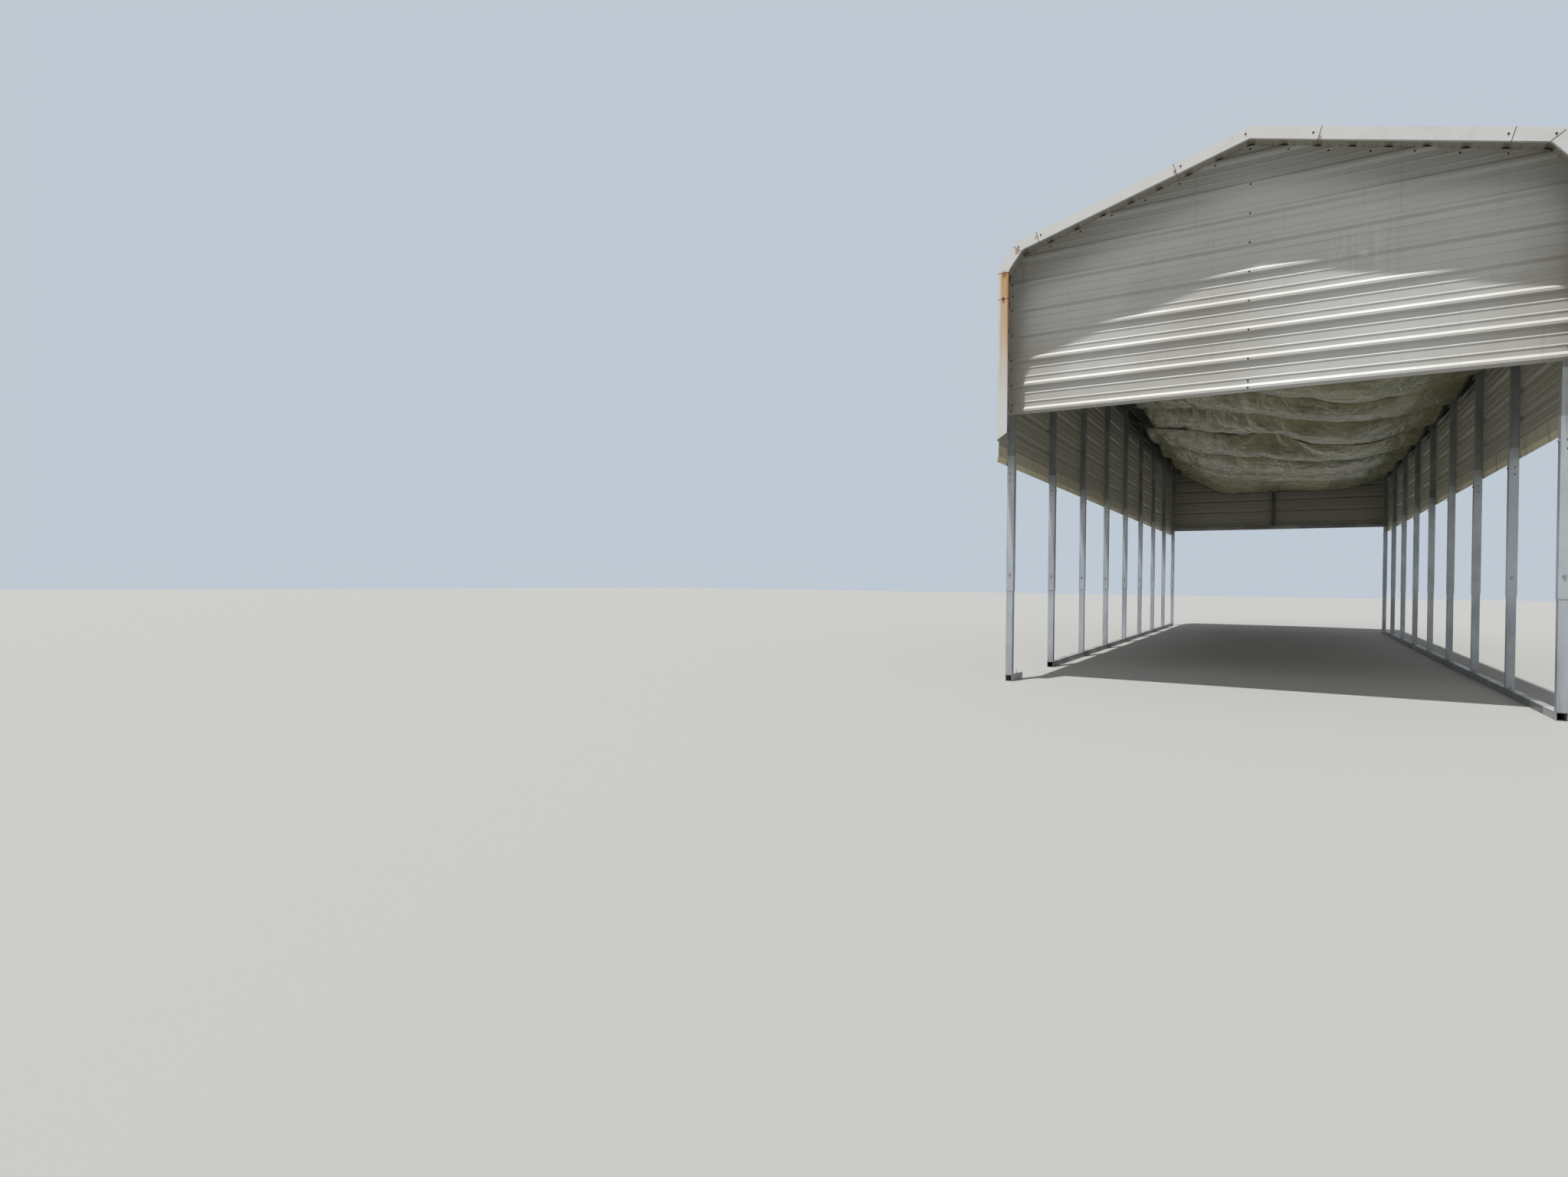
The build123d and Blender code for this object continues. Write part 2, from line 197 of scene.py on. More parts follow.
right_side = right_side_of("bow_1")
slope_length = (right_side[1] - right_side[0]).length
eave_length = (right_side[2] - right_side[1]).length
half_width = right_side[3].x
peak_z = right_side[0].y
slope_angle = atan2(peak_z - right_side[1].y, right_side[1].x)
front_rail_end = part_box("foot_rail_front_left")[1].y
frame_ys = [sum(corner.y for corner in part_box(f"leg_{n}")) / 2 for n in range(1, 10)]
front_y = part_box("front_header")[0].y
back_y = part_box("back_header")[1].y
trim_front_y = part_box("front_trim")[0].y
trim_back_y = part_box("back_trim")[1].y
trim_top = (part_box("front_trim")[1].z - peak_z) * cos(slope_angle)
side_sheet_bottom_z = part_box("side_sheet_right")[0].z
wall_start = slope_length + eave_length
side_end = wall_start + right_side[2].y - side_sheet_bottom_z
slope_ribs = round(slope_length / RIB_PITCH)
half_ribs = [index * RIB_PITCH for index in range(slope_ribs + 1)]
half_ribs += [wall_start + index * RIB_PITCH for index in range(int((side_end - wall_start) / RIB_PITCH) + 1)]


def on_section(distance, out=0.0):
    """Point and outward direction, in X and Z, at a distance from the peak along the bows."""
    side = 1.0 if distance >= 0 else -1.0
    rest = abs(distance)
    for start, end in zip(right_side, right_side[1:]):
        length = (end - start).length
        if rest <= length or end is right_side[-1]:
            break
        rest -= length
    along = (end - start) / length
    normal = Vector((-along.y, along.x))
    point = start + along * rest + normal * out
    return Vector((side * point.x, point.y)), Vector((side * normal.x, normal.y))


def rib_height(offset):
    """Height of a major rib at an offset from its middle."""
    share = (RIB_BASE / 2 - abs(offset)) / ((RIB_BASE - RIB_TOP) / 2)
    return RIB_HEIGHT * min(1.0, max(0.0, share))


# Meshes
def face_outward(mesh):
    """Turns the faces of closed shells outward."""
    shells = bmesh.new()
    shells.from_mesh(mesh)
    bmesh.ops.recalc_face_normals(shells, faces=shells.faces)
    shells.to_mesh(mesh)
    shells.free()


def add_piece(name, shapes, materials, smooth=False, closed=True):
    """New object from shapes, each with its points and faces, that rides on the carport."""
    points = []
    faces = []
    for shape_points, shape_faces in shapes:
        first = len(points)
        points += [tuple(point) for point in shape_points]
        faces += [tuple(first + index for index in face) for face in shape_faces]
    mesh = bpy.data.meshes.new(name)
    mesh.from_pydata(points, [], faces)
    mesh.validate()
    if closed:
        face_outward(mesh)
    if smooth:
        mesh.shade_smooth()
    else:
        mesh.shade_flat()
    for one in materials:
        mesh.materials.append(one)
    piece = bpy.data.objects.new(name, mesh)
    bpy.context.scene.collection.objects.link(piece)
    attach(piece, "root")
    return piece


def ring_faces(rings, sides):
    """Faces of a closed solid round rings of points."""
    faces = []
    for low in range(0, (rings - 1) * sides, sides):
        for step in range(sides):
            after = (step + 1) % sides
            faces.append((low + step, low + after, low + sides + after, low + sides + step))
    faces.append(tuple(reversed(range(sides))))
    faces.append(tuple(range((rings - 1) * sides, rings * sides)))
    return faces


def turned(profile, sides):
    """Points and faces of a closed solid turned about Z through (radius, height) pairs."""
    points = []
    for radius, height in profile:
        for step in range(sides):
            turn = 2 * pi * step / sides
            points.append(Vector((radius * cos(turn), radius * sin(turn), height)))
    return points, ring_faces(len(profile), sides)


def copies(name, parts, places, materials, seed):
    """One object with a copy of the turned parts at every (point, direction) in places."""
    draw = random.Random(seed)
    shapes = []
    numbers = []
    for place, direction in places:
        turn = Vector(direction).to_track_quat("Z", "Y").to_matrix()
        spin = turn @ Matrix.Rotation(draw.uniform(0, 2 * pi), 3, "Z")
        for profile, sides, number in parts:
            points, faces = turned(profile, sides)
            shapes.append(([Vector(place) + spin @ point for point in points], faces))
            numbers += [number] * len(faces)
    piece = add_piece(name, shapes, materials)
    piece.data.polygons.foreach_set("material_index", numbers)


def tube_mesh(path, radius, sides=8):
    """Points and faces of a round cord along a path of points."""
    points = []
    for index, point in enumerate(path):
        before = path[max(index - 1, 0)]
        after = path[min(index + 1, len(path) - 1)]
        turn = (after - before).to_track_quat("Z", "Y")
        for step in range(sides):
            angle = 2 * pi * step / sides
            points.append(point + turn @ Vector((radius * cos(angle), radius * sin(angle), 0)))
    return points, ring_faces(len(path), sides)


# Materials
def paint(red, green, blue):
    """Linear colour from display values, 0 to 255."""
    def linear(value):
        share = value / 255
        return share / 12.92 if share <= 0.04045 else ((share + 0.055) / 1.055) ** 2.4

    return (linear(red), linear(green), linear(blue), 1.0)


# backing coat of the sheets' inner sides, darkened with painted shade for the carport's inside
BACKING_COAT_AND_SHADE = paint(176, 174, 158)


class Finish:
    """A material and short ways to add nodes to it."""

    def __init__(self, name, **surface):
        self.material = bpy.data.materials.new(name)
        self.material.use_nodes = True
        self.tree = self.material.node_tree
        self.shader = self.tree.nodes["Principled BSDF"]
        self.places = self.tree.nodes.new("ShaderNodeTexCoord").outputs["Object"]
        self.split = self.node("ShaderNodeSeparateXYZ", {0: self.places})
        self.normal = None
        for socket, value in surface.items():
            self.shader.inputs[socket.replace("_", " ").title()].default_value = value

    def node(self, kind, inputs, **settings):
        made = self.tree.nodes.new(kind)
        for name, value in settings.items():
            setattr(made, name, value)
        for socket, value in inputs.items():
            if isinstance(value, bpy.types.NodeSocket):
                self.tree.links.new(value, made.inputs[socket])
            else:
                made.inputs[socket].default_value = value
        return made

    def axis(self, letter):
        return self.split.outputs[letter]

    def math(self, operation, first, second=0.0, clamp=False):
        made = self.node("ShaderNodeMath", {0: first, 1: second}, operation=operation, use_clamp=clamp)
        return made.outputs[0]

    def product(self, first, *others):
        for other in others:
            first = self.math("MULTIPLY", first, other, clamp=True)
        return first

    def vectors(self, operation, first, second, output=0):
        made = self.node("ShaderNodeVectorMath", {0: first, 1: second}, operation=operation)
        return made.outputs[output]

    def noise(self, scale, stretch=(1, 1, 1), detail=3.0, roughness=0.55):
        where = self.node("ShaderNodeMapping", {"Vector": self.places, "Scale": stretch}).outputs[0]
        inputs = {"Vector": where, "Scale": scale, "Detail": detail, "Roughness": roughness}
        return self.node("ShaderNodeTexNoise", inputs).outputs[0]

    def ramp(self, value, low, high, to_low=0.0, to_high=1.0):
        inputs = {0: value, 1: low, 2: high, 3: to_low, 4: to_high}
        made = self.node("ShaderNodeMapRange", inputs, interpolation_type="SMOOTHSTEP")
        return made.outputs[0]

    def near(self, value, middle, reach):
        """1 at the middle, falling to 0 at a distance of reach."""
        away = self.math("ABSOLUTE", self.math("SUBTRACT", value, middle))
        return self.ramp(away, 0.0, reach, 1.0, 0.0)

    def mix(self, share, first, second):
        inputs = {0: share, 6: first, 7: second}
        return self.node("ShaderNodeMix", inputs, data_type="RGBA").outputs[2]

    def on_front(self):
        """1 on the front half of the carport, 0 on the back half."""
        return self.ramp(self.axis("Y"), -0.1, 0.1, 1.0, 0.0)

    def over(self, base, mask, low, high, most, colour):
        """The base with a colour over it: none where the mask is low, up to a share where it is high."""
        return self.mix(self.ramp(mask, low, high, 0.0, most), base, colour)

    def bump(self, height, strength, distance):
        inputs = {"Height": height, "Strength": strength, "Distance": distance}
        if self.normal:
            inputs["Normal"] = self.normal
        self.normal = self.node("ShaderNodeBump", inputs).outputs[0]
        self.tree.links.new(self.normal, self.shader.inputs["Normal"])

    def colour(self, value):
        self.tree.links.new(value, self.shader.inputs["Base Color"])
        return self

    def rough(self, value):
        self.tree.links.new(value, self.shader.inputs["Roughness"])
        return self


def galvanised(name, light, dark):
    """Zinc coated tube: faint spangle, streaks along its length, dust at the foot."""
    finish = Finish(name, metallic=0.4)
    cells = finish.node("ShaderNodeTexVoronoi", {"Vector": finish.places, "Scale": 90.0})
    spangle = finish.node("ShaderNodeSeparateColor", {0: cells.outputs["Color"]}).outputs[0]
    streaks = finish.noise(26.0, (1, 1, 0.05), 4.0)
    cloud = finish.noise(3.0, (1, 1, 0.6), 4.0)
    worn = finish.over(light, cloud, 0.35, 0.7, 1.0, dark)
    worn = finish.over(worn, spangle, 0.0, 1.0, 0.22, dark)
    worn = finish.over(worn, streaks, 0.56, 0.74, 0.45, paint(96, 98, 98))
    foot = finish.ramp(finish.axis("Z"), 0.0, 0.22, 0.5, 0.0)
    worn = finish.mix(finish.product(foot, cloud), worn, paint(120, 106, 88))
    finish.colour(worn)
    finish.rough(finish.ramp(cloud, 0.3, 0.7, 0.38, 0.55))
    finish.bump(streaks, 0.12, 0.001)
    return finish, worn


def tube_finish():
    """Bows, posts, headers and rails, with painted shade and dirt on the rails' sides, and a brighter piece
    in the front left one, which is painted sunlight.
    """
    finish, worn = galvanised("galvanised_tube", paint(168, 171, 170), paint(130, 133, 132))
    # painted shade and dirt: the rails' sides darker than their tops
    sides = finish.ramp(finish.axis("Z"), TUBE - 0.004, TUBE, 0.55, 0.0)
    worn = finish.mix(sides, worn, paint(92, 90, 84))
    # painted sunlight: the rails brighter at the front, up to the end of the front left piece
    low = finish.ramp(finish.axis("Z"), TUBE, TUBE + 0.002, 1.0, 0.0)
    front = finish.ramp(finish.axis("Y"), front_rail_end - 0.005, front_rail_end, 0.6, 0.0)
    finish.colour(finish.mix(finish.product(front, low), worn, paint(206, 208, 208)))
    return finish.material


def shaded_post_finish():
    """Back gable's post, darker than the frames with painted shade."""
    return galvanised("shade_painted_galvanised_tube", paint(98, 100, 98), paint(66, 67, 64))[0].material


def leg_finish():
    """Stubs with the slightly brighter sleeves over them."""
    finish, worn = galvanised("galvanised_legs", paint(190, 195, 198), paint(158, 164, 168))
    above = finish.ramp(finish.axis("Z"), SLEEVE_BOTTOM_Z - 0.001, SLEEVE_BOTTOM_Z, 0.0, 0.15)
    below = finish.ramp(finish.axis("Z"), SLEEVE_TOP_Z, SLEEVE_TOP_Z + 0.001, 1.0, 0.0)
    finish.colour(finish.mix(finish.product(above, below), worn, paint(204, 212, 216)))
    return finish.material


def sheet_finish(name, base, along, across, outward_axes):
    """Baked paint on ribbed sheet, with dirt that lies along the ribs and runs down over them.

    The side that faces into the carport has only a duller backing coat, partly painted shade."""
    finish = Finish(name, roughness=0.5)
    outward = finish.vectors("SUBTRACT", finish.places, (0.0, 0.0, right_side[2].y - 0.6))
    outward = finish.vectors("MULTIPLY", outward, outward_axes)
    faces = finish.node("ShaderNodeNewGeometry", {}).outputs["True Normal"]
    facing = finish.vectors("DOT_PRODUCT", outward, faces, "Value")
    # inward faces: backing coat, partly painted shade
    faded = finish.mix(finish.ramp(facing, -0.02, 0.0, 1.0, 0.0), base, BACKING_COAT_AND_SHADE)
    lines = finish.noise(22.0, along)
    faded = finish.over(faded, finish.noise(0.7), 0.35, 0.65, 0.6, paint(168, 163, 152))
    faded = finish.over(faded, lines, 0.5, 0.75, 0.2, paint(150, 146, 136))
    faded = finish.over(faded, finish.noise(14.0, across, 4.0), 0.58, 0.8, 0.3, paint(138, 131, 117))
    faded = finish.over(faded, finish.noise(160.0, detail=2.0), 0.68, 0.78, 0.25, paint(110, 104, 94))
    finish.colour(faded)
    finish.rough(finish.ramp(lines, 0.3, 0.7, 0.4, 0.58))
    waves = finish.noise(2.2, detail=2.0)
    finish.bump(waves, 0.25, 0.006)
    return finish, faded


def gable_finish():
    """Sheets of both gables, with faint pale runs on the front one."""
    finish, faded = sheet_finish("gable_paint", paint(198, 198, 194), (0.02, 1, 1), (1, 1, 0.05), (0, 1, 0))
    runs = finish.ramp(finish.noise(16.0, (1, 1, 0.02), 2.0), 0.45, 0.6)
    across = finish.near(finish.axis("X"), PALE_RUNS_X, 0.3)
    down = finish.near(finish.axis("Z"), PALE_RUNS_Z, 0.3)
    share = finish.product(across, down, finish.on_front(), 0.55, runs)
    finish.colour(finish.mix(share, faded, paint(222, 222, 220)))
    return finish.material


def roof_finish():
    """Sheets of the roof and the side walls."""
    finish = sheet_finish("roof_paint", paint(184, 181, 171), (1, 0.02, 1), (0.08, 1, 0.08), (1, 0, 1))[0]
    return finish.material


def trim_finish():
    """White baked paint with rust run down from the laps at the front."""
    finish = Finish("trim_paint", roughness=0.42)
    cloud = finish.noise(5.0, detail=4.0)
    runs = finish.noise(34.0, (1, 1, 0.08), 4.0)
    worn = finish.over(paint(210, 210, 208), cloud, 0.4, 0.75, 0.3, paint(184, 181, 172))
    worn = finish.over(worn, runs, 0.6, 0.8, 0.25, paint(170, 160, 142))
    finish.colour(rusted(finish, worn, finish.ramp(runs, 0.25, 0.7, 0.6, 1.0)))
    finish.rough(finish.ramp(cloud, 0.3, 0.7, 0.36, 0.5))
    finish.bump(cloud, 0.1, 0.002)
    return finish.material


def rusted(finish, worn, streak):
    """The trim's paint with a stain down its left upright, and spots at the laps."""
    x, z = finish.axis("X"), finish.axis("Z")
    upright = finish.ramp(x, RUST_X - 0.02, RUST_X + 0.02, 1.0, 0.0)
    fade = finish.ramp(z, RUST_LOW_Z, RUST_HIGH_Z, 0.0, 0.95)
    under_lap = finish.ramp(z, RUST_TOP_Z, RUST_TOP_Z + 0.004, 1.0, 0.0)
    stained = finish.product(upright, fade, under_lap, finish.on_front())
    inner = finish.ramp(x, -half_width - 0.012, -half_width + 0.012)
    worn = finish.mix(finish.product(stained, inner, streak), worn, paint(186, 140, 66))
    lip = finish.ramp(x, -half_width + 0.056, -half_width + 0.062)
    worn = finish.mix(finish.product(stained, lip), worn, paint(166, 110, 52))
    for middle_x, middle_z, reach, strength in RUST_SPOTS:
        across = finish.near(x, middle_x, reach)
        down = finish.near(z, middle_z, reach * 1.6)
        spot = finish.product(across, down, streak, finish.on_front(), strength)
        worn = finish.mix(spot, worn, paint(150, 92, 48))
    return worn


def side_trim_finish():
    """Cream strip with a paler, yellowish lower lip, which is painted reflected light."""
    finish = Finish("side_trim_paint", roughness=0.45)
    runs = finish.noise(9.0, (1, 1, 0.2), 4.0)
    lip = finish.ramp(finish.axis("Z"), SIDE_TRIM_LIP_Z - 0.002, SIDE_TRIM_LIP_Z + 0.002, 1.0, 0.0)
    # painted reflected light: the lower lip paler and yellowish
    faded = finish.mix(lip, paint(214, 206, 186), paint(236, 229, 186))
    faded = finish.over(faded, runs, 0.5, 0.75, 0.5, paint(142, 128, 104))
    for lap_y in SIDE_TRIM_LAPS_Y:
        spot = finish.product(finish.near(finish.axis("Y"), lap_y, 0.05), runs)
        faded = finish.mix(spot, faded, paint(160, 104, 56))
    finish.colour(faded)
    finish.bump(runs, 0.1, 0.002)
    return finish.material


def plain_metal(name, base, dark, metallic, roughness):
    """Small hardware, a little blotched."""
    finish = Finish(name, metallic=metallic, roughness=roughness)
    cloud = finish.noise(220.0, detail=4.0)
    finish.colour(finish.mix(finish.ramp(cloud, 0.35, 0.65), base, dark))
    finish.bump(cloud, 0.2, 0.0004)
    return finish.material


def tarp_finish():
    """Woven and coated sheet, creased where it was folded, with painted highlights on its crumples and
    painted shade in their hollows, along its hems and in the valleys at the frames.
    """
    finish = Finish("woven_tarp")
    finish.shader.inputs["Specular IOR Level"].default_value = 0.4
    flat = finish.node("ShaderNodeUVMap", {}, uv_map="flat").outputs[0]
    split = finish.node("ShaderNodeSeparateXYZ", {0: flat})
    across, along = split.outputs[0], split.outputs[1]
    crumple = finish.noise(9.0, detail=6.0, roughness=0.65)
    cloud = finish.noise(1.6, detail=4.0)
    base = finish.over(paint(185, 184, 143), cloud, 0.35, 0.65, 1.0, paint(146, 146, 112))
    # painted highlight on the crumples' crests, and painted shade in their hollows
    base = finish.over(base, crumple, 0.55, 0.72, 0.25, paint(204, 204, 168))
    base = finish.over(base, crumple, 0.45, 0.3, 0.25, paint(90, 92, 68))
    # painted shade in the valleys where the cloth lies on the cords at the frames
    from_frame = finish.math("PINGPONG", finish.axis("Y"), (frame_ys[1] - frame_ys[0]) / 2)
    base = finish.over(base, from_frame, 0.1, 0.02, 0.7, paint(56, 56, 42))
    # painted shade: the hems darker all round
    x_edge = finish.math("MINIMUM", across, finish.math("SUBTRACT", TARP_FLAT[0], across))
    y_edge = finish.math("MINIMUM", along, finish.math("SUBTRACT", TARP_FLAT[1], along))
    edge = finish.math("MINIMUM", x_edge, y_edge)
    finish.colour(finish.over(base, edge, TARP_HEM, TARP_HEM - 0.002, 0.8, paint(52, 52, 42)))
    finish.rough(finish.ramp(crumple, 0.3, 0.7, 0.2, 0.4))
    finish.bump(finish.near(edge, TARP_HEM, 0.004), -0.6, 0.001)
    warp = finish.math("SINE", finish.math("MULTIPLY", across, 2 * pi / TARP_WEAVE))
    weft = finish.math("SINE", finish.math("MULTIPLY", along, 2 * pi / TARP_WEAVE))
    finish.bump(finish.math("MULTIPLY", warp, weft), 0.15, 0.0003)
    finish.bump(crumple, 0.25, 0.012)
    folds = finish.noise(1.0, (7.0, 1.6, 1.0), 2.0, 0.6)
    finish.bump(folds, 0.6, 0.045)
    creases = finish.node("ShaderNodeTexVoronoi", {"Vector": flat, "Scale": 3.2}, feature="DISTANCE_TO_EDGE")
    finish.bump(finish.ramp(creases.outputs["Distance"], 0.0, 0.04), 0.8, 0.006)
    return finish.material


def cord_finish():
    """Pale braided cord."""
    finish = Finish("braided_cord", roughness=0.8)
    twist = finish.noise(900.0, detail=1.0)
    finish.colour(finish.mix(finish.ramp(twist, 0.35, 0.65), paint(204, 201, 190), paint(146, 142, 130)))
    finish.bump(twist, 0.5, 0.0006)
    return finish.material


tube_metal = tube_finish()
# painted shade for the back gable's post
shade_painted_post_metal = shaded_post_finish()
leg_metal = leg_finish()
gable_paint = gable_finish()
roof_paint = roof_finish()
trim_paint = trim_finish()
side_trim_paint = side_trim_finish()
screw_metal = plain_metal("screw_metal", paint(74, 70, 64), paint(46, 40, 35), 0.5, 0.55)
washer_rubber = plain_metal("washer_rubber", paint(48, 46, 44), paint(34, 33, 32), 0.0, 0.8)
bolt_metal = plain_metal("bolt_metal", paint(186, 190, 192), paint(140, 144, 146), 0.7, 0.35)
# painted shadow gap, rust brown, at the ends of the trims' laps
lap_shadow_and_rust = plain_metal("lap_shadow_and_rust", paint(72, 48, 32), paint(44, 32, 26), 0.0, 0.9)
weld_metal = plain_metal("weld_metal", paint(104, 106, 106), paint(74, 70, 66), 0.6, 0.5)
screw_metals = [screw_metal, washer_rubber]
tarp_cloth = tarp_finish()
cord_fibre = cord_finish()

# Start of a node's name and its finish. The first that fits counts, and all others are tubes.
NODE_FINISHES = (
    ("leg", leg_metal),
    # the back gable's post gets painted shade
    ("back_gable_post", shade_painted_post_metal),
    (("front_gable_sheet", "back_gable_sheet"), gable_paint),
    (("ridge_sheet", "slope_sheet", "eave_sheet", "side_sheet"), roof_paint),
    (("front_trim", "back_trim"), trim_paint),
    ("side_trim", side_trim_paint),
    ("tarp", tarp_cloth),
    ("", tube_metal),
)

for name, piece in nodes.items():
    piece.data.materials.clear()
    piece.data.materials.append(next(finish for start, finish in NODE_FINISHES if name.startswith(start)))


# Fasteners, each as turned parts: (radius, height) pairs, sides, number of the material
SCREW = [
    (((0.0072, 0.0), (0.0072, 0.001), (0.0058, 0.0016)), 12, 1),
    (((0.0046, 0.0014), (0.0046, 0.0046), (0.0038, 0.0054)), 6, 0),
]
BOLT = [
    (((0.0125, 0.0), (0.0125, 0.0018)), 20, 0),
    (((0.0092, 0.0018), (0.0092, 0.0078), (0.008, 0.009)), 6, 0),
]
ANCHOR = [
    (((0.017, 0.0), (0.017, 0.0025)), 20, 0),
    (((0.0108, 0.0025), (0.0108, 0.0122), (0.0095, 0.0135)), 6, 0),
    (((0.0062, 0.0), (0.0062, 0.03), (0.005, 0.032)), 14, 0),
]
WELD = [(((0.0055, 0.0), (0.005, 0.0016), (0.003, 0.0028)), 8, 0)]
GROMMET = [(((0.011, -0.0015), (0.014, -0.0022), (0.014, 0.0022), (0.011, 0.0015)), 16, 0)]


def roof_screws():
    """One screw beside each rib at every frame, from wall to wall."""
    places = []
    for distance in half_ribs:
        for side in (-1.0, 1.0):
            if distance + SCREW_BESIDE_RIB > side_end:
                continue
            point, normal = on_section(side * (distance + SCREW_BESIDE_RIB), SHEET)
            for y in frame_ys:
                places.append(((point.x, y, point.y), (normal.x, 0.0, normal.y)))
    copies("roof_screws", SCREW, places, screw_metals, 2)


def gable_screws(name, face_y, outward, bottom_z, first_rib_z):
    """Screws up the middle, up both edges and along the slopes of a gable."""
    places = []
    middle_y = (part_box("front_header")[1].y - front_y) / 2

    def surface(z):
        steps = round((z - first_rib_z) / RIB_PITCH)
        offset = z - first_rib_z - steps * RIB_PITCH if z > first_rib_z - RIB_PITCH / 2 else RIB_BASE
        return face_y + outward * (rib_height(offset) + SHEET)

    ribs = [first_rib_z + index * RIB_PITCH for index in range(GABLE_RIBS)]
    for z in ribs + list(GABLE_PAN_SCREWS_Z):
        if bottom_z < z < peak_z - GABLE_PEAK_GAP and (z in ribs or z == GABLE_PAN_SCREWS_Z[0]):
            places.append(((0.0, surface(z), z), (0, outward, 0)))
        if bottom_z < z < right_side[2].y:
            for side in (-1.0, 1.0):
                places.append(((side * (half_width - middle_y), surface(z), z), (0, outward, 0)))
    reach = int(slope_length / GABLE_EDGE_STEP)
    for index in range(-reach, reach + 1):
        point = on_section(index * GABLE_EDGE_STEP, -middle_y)[0]
        places.append(((point.x, surface(point.y), point.y), (0, outward, 0)))
    copies(name, SCREW, places, screw_metals, 3)


def leg_bolts():
    """A bolt through each sleeve over its stub, and two screws near the sleeve's top."""
    bolts = []
    screws = []
    for number, y in enumerate(frame_ys, 1):
        low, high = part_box(f"leg_{number}")
        sleeve_half = (high.y - low.y) / 2
        for side in (-1.0, 1.0):
            middle_x = side * (half_width - TUBE / 2)
            for facing in (-1.0, 1.0):
                bolts.append(((middle_x, y + facing * sleeve_half, LEG_BOLT_Z), (0, facing, 0)))
            inner_x = middle_x - side * sleeve_half
            bolts.append(((inner_x, y, LEG_SIDE_BOLT_Z), (-side, 0, 0)))
            for z in LEG_SCREWS_Z:
                place = (middle_x + LEG_SCREW_OFFSET * side, y - sleeve_half, z)
                screws.append((place, (0, -1, 0)))
    copies("leg_bolts", BOLT, bolts, [bolt_metal], 4)
    copies("leg_screws", SCREW, screws, [bolt_metal, washer_rubber], 5)


def anchors():
    """An anchor bolt through the rail in front of each leg, and one behind the front left leg."""
    places = []
    for y in frame_ys[1:]:
        places.append(((half_width - TUBE / 2, y - ANCHOR_BEFORE_LEG, TUBE), (0, 0, 1)))
    for y in frame_ys[2:]:
        places.append(((TUBE / 2 - half_width, y - ANCHOR_BEFORE_LEG, TUBE), (0, 0, 1)))
    behind = front_rail_end - ANCHOR_BEFORE_LEG
    places.append(((TUBE / 2 - half_width, behind, TUBE), (0, 0, 1)))
    copies("anchor_bolts", ANCHOR, places, [bolt_metal], 6)


def welds():
    """Beads where the stubs stand on the rails, in front of and behind each one."""
    draw = random.Random(7)
    beads = int(TUBE / WELD_STEP)
    places = []
    for y in frame_ys:
        for side in (-1.0, 1.0):
            for facing in (-1.0, 1.0):
                for step in range(beads):
                    x = side * (half_width - TUBE / 2) + (step - beads // 2) * WELD_STEP
                    lift = draw.uniform(-WELD_UNEVEN, WELD_UNEVEN)
                    at = (x, y + facing * (TUBE / 2 + lift), TUBE + lift)
                    places.append((at, (0, facing, 1)))
    copies("leg_welds", WELD, places, [weld_metal], 8)


# Laps in the sheets and trims
def section_point(distance, out, y):
    """Point at a distance from the peak along the bows, and at a lift above their outer face."""
    point = on_section(distance, out)[0]
    return Vector((point.x, y, point.y))


def thin_solid(first, last):
    """Solid between two outlines of points, each out along one face and back along the other."""
    count = len(first)
    faces = [(i, (i + 1) % count, count + (i + 1) % count, count + i) for i in range(count)]
    for i in range(count // 2 - 1):
        back = count - 1 - i
        faces.append((i, back, back - 1, i + 1))
        faces.append((count + i, count + i + 1, count + back - 1, count + back))
    return first + last, faces


def strip(outline, ys):
    """Thin solid along the carport between two ys, from an outline of (distance, lift) pairs."""
    return thin_solid(*([section_point(distance, out, y) for distance, out in outline] for y in ys))


def sheet_laps():
    """Edges of the upper sheets along the seams, as thin strips."""
    low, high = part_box("ridge_sheet_right")
    ys = (low.y + SEAM_END_GAP, high.y - SEAM_END_GAP)
    under, top = (SHEET + out for out in SEAM_PLATE)
    shapes = []
    for seam in (2 * RIB_PITCH, 6 * RIB_PITCH, wall_start + RIB_PITCH):
        near, far = (seam + SEAM_OFFSET + across for across in SEAM_LAP)
        for side in (-1.0, 1.0):
            outline = [(side * near, top), (side * far, top), (side * far, under), (side * near, under)]
            shapes.append(strip(outline, ys))
    add_piece("sheet_lap_edges", shapes, [roof_paint])


def rib_section(middle, base, top, height):
    """Distance and height of a rib's four bends."""
    return [
        (middle - base / 2, 0.0),
        (middle - top / 2, height),
        (middle + top / 2, height),
        (middle + base / 2, 0.0),
    ]


def sheet_profile(out):
    """Distance and height all round the roof section, over every rib, at a lift above the sheet."""
    ribs = [-distance for distance in reversed(half_ribs[1:])] + half_ribs
    points = [(-side_end, 0.0)]
    for middle, after in zip(ribs, ribs[1:]):
        points += rib_section(middle, RIB_BASE, RIB_TOP, RIB_HEIGHT)
        for third in (1, 2):
            minor = middle + (after - middle) * third / 3
            points += rib_section(minor, MINOR_BASE, MINOR_TOP, MINOR_HEIGHT)
    points += rib_section(ribs[-1], RIB_BASE, RIB_TOP, RIB_HEIGHT)
    points.append((side_end, 0.0))
    return [(distance, height + SHEET + out) for distance, height in points if abs(distance) <= side_end]


def roof_end_lap():
    """Where the back lengths of roof sheet lie over the front ones."""
    outline = sheet_profile(LAP_PLATE) + sheet_profile(-LAP_SUNK)[::-1]
    add_piece("roof_end_lap", [strip(outline, ROOF_LAP_Y)], [roof_paint])


